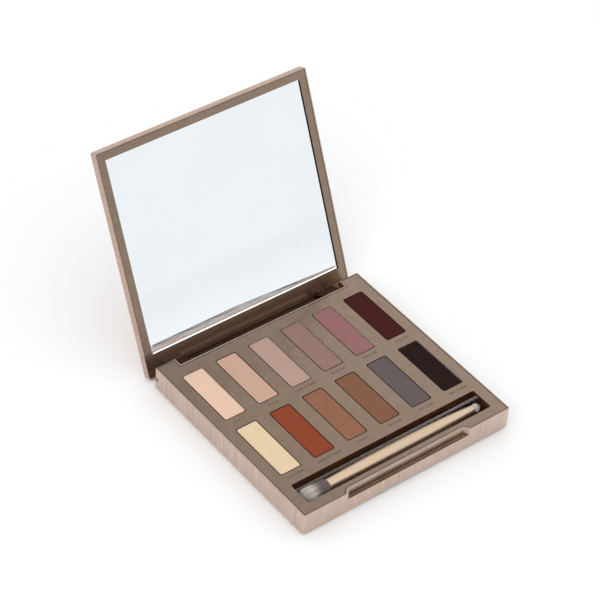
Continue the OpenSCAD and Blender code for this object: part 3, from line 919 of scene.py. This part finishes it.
low, high = corners_of("bristles_small")
small_root, small_tip = handle_x + handle_l - sunk, high[0]
head_r = (high[2] - low[2]) / 2
bundle_r = small_r - 0.5 * MM
outline = np.array([(0, bundle_r), (0.42, bundle_r), (0.52, head_r * 0.96),
                    (0.66, head_r * 0.97), (0.84, head_r * 0.72), (1.0, head_r * 0.3)])
points, faces, length_share, fibre_tone = fibre_bundle(
    small_root, small_tip, outline, count=1900, thick=0.07 * MM, seed=9,
    ends=lambda share: 1.03 - 0.2 * share ** 2.5)
white_hair = fibre_material("white fibre", [(0.0, tone("D9D2CA")), (0.45, tone("F6F1EC")),
                                            (0.7, tone("FFFCF8"))], 0.6)
small_head = place_piece("fibres_small", points, faces, "brush", white_hair, ["bristles_small"],
                         smooth=0)
store(small_head, "length_share", length_share)
store(small_head, "fibre_tone", fibre_tone)
print("bristles:", len(large_head.data.polygons) + len(small_head.data.polygons), "faces")

# %% [markdown]
# ## Film sleeve
# A new brush lies in a loose sleeve of clear film. It is hardly there: it shows as grey streaks
# along its rounded back, where the eye meets the film at a shallow angle. The frame's sleeve
# keeps its shape and gets a see-through material whose streaks run lengthwise: grey paint that is a
# painted reflection. How much of it shows is the streaks times the shallow angle times a share that
# fades out towards the front.

# %% Clear film
material, tree, shader = new_material("clear film with painted reflection", Roughness=0.12, IOR=1.45)
streaks = stretched_noise(tree, (150, 0.8, 0.8), detail=2.0, roughness=0.6)
facing = add(tree, "LayerWeight", {"Blend": 0.5}).outputs["Facing"]
cloud = add(tree, "MapRange", {"Value": streaks, "From Min": 0.42, "From Max": 0.66,
                               "To Min": 0.6, "To Max": 1.0}).outputs["Result"]
edge = add(tree, "MapRange", {"Value": facing, "From Min": 0.3, "From Max": 0.75,
                              "To Min": 0.01, "To Max": 0.62}).outputs["Result"]
across = add(tree, "SeparateXYZ", {"Vector": add(tree, "TexCoord").outputs["Object"]}).outputs["Y"]
middle = float(brush_axis[1])
far_side = add(tree, "MapRange", {"Value": across, "From Min": middle, "From Max": middle + 3.5 * MM,
                                  "To Min": 0.1}).outputs["Result"]
painted_reflection_share = add(tree, "Math", {0: cloud, 1: edge}, operation="MULTIPLY").outputs["Value"]
painted_reflection_share = add(tree, "Math", {0: painted_reflection_share, 1: far_side}, operation="MULTIPLY").outputs["Value"]
# Painted reflection: the grey streak colour shows through the alpha, on the far side only.
painted(tree, shader, "Alpha", painted_reflection_share)
painted(tree, shader, "Base Color", ramp(tree, streaks, [(0.45, tone("827974")), (0.66, tone("D0C9C5"))]))
bumped(tree, shader, streaks, 0.05, 0.4)
film = material

# %% [markdown]
# ## Hidden and small parts
# Pins, magnets, tape and glue pads keep the frame's shape. Each still gets a real finish, because
# the palette may be opened up: blackened steel pins, plated magnets, dark foam tape, milky glue.

# %% Small finishes


def plain_finish(name, metallic, dark, light, spans, rough, relief_mm):
    """A two-tone pattern from stretched noise, with its own roughness span and relief."""
    material, tree, shader = new_material(name, Metallic=metallic)
    pattern = stretched_noise(tree, spans, detail=3.0)
    painted(tree, shader, "Base Color", ramp(tree, pattern, [(0.35, tone(dark)), (0.65, tone(light))]))
    gloss = add(tree, "MapRange", {"Value": pattern, "To Min": rough[0], "To Max": rough[1]})
    painted(tree, shader, "Roughness", gloss.outputs["Result"])
    bumped(tree, shader, pattern, relief_mm, 0.4)
    return material


steel = plain_finish("blackened steel", 1.0, "171413", "24201E", (0.15, 3, 3), (0.4, 0.55), 0.02)
plating = plain_finish("nickel plating", 1.0, "A9A8A6", "C9C8C6", (0.8, 0.8, 0.8), (0.2, 0.35), 0.01)
foam = plain_finish("foam tape", 0.0, "242424", "3A3838", (0.3, 0.3, 0.3), (0.75, 0.95), 0.05)
glue = plain_finish("milky glue", 0.0, "D2CBB9", "E3DDCD", (2, 2, 2), (0.35, 0.55), 0.05)
for node, finish in (("hinge_pin_left", steel), ("hinge_pin_right", steel), ("base_magnets", plating),
                     ("lid_magnets", plating), ("mirror_tape", foam), ("pan_glue", glue),
                     ("brush_sleeve", film)):
    mesh = nodes[node].data
    mesh.materials.clear()
    mesh.materials.append(finish)
print("small parts finished")
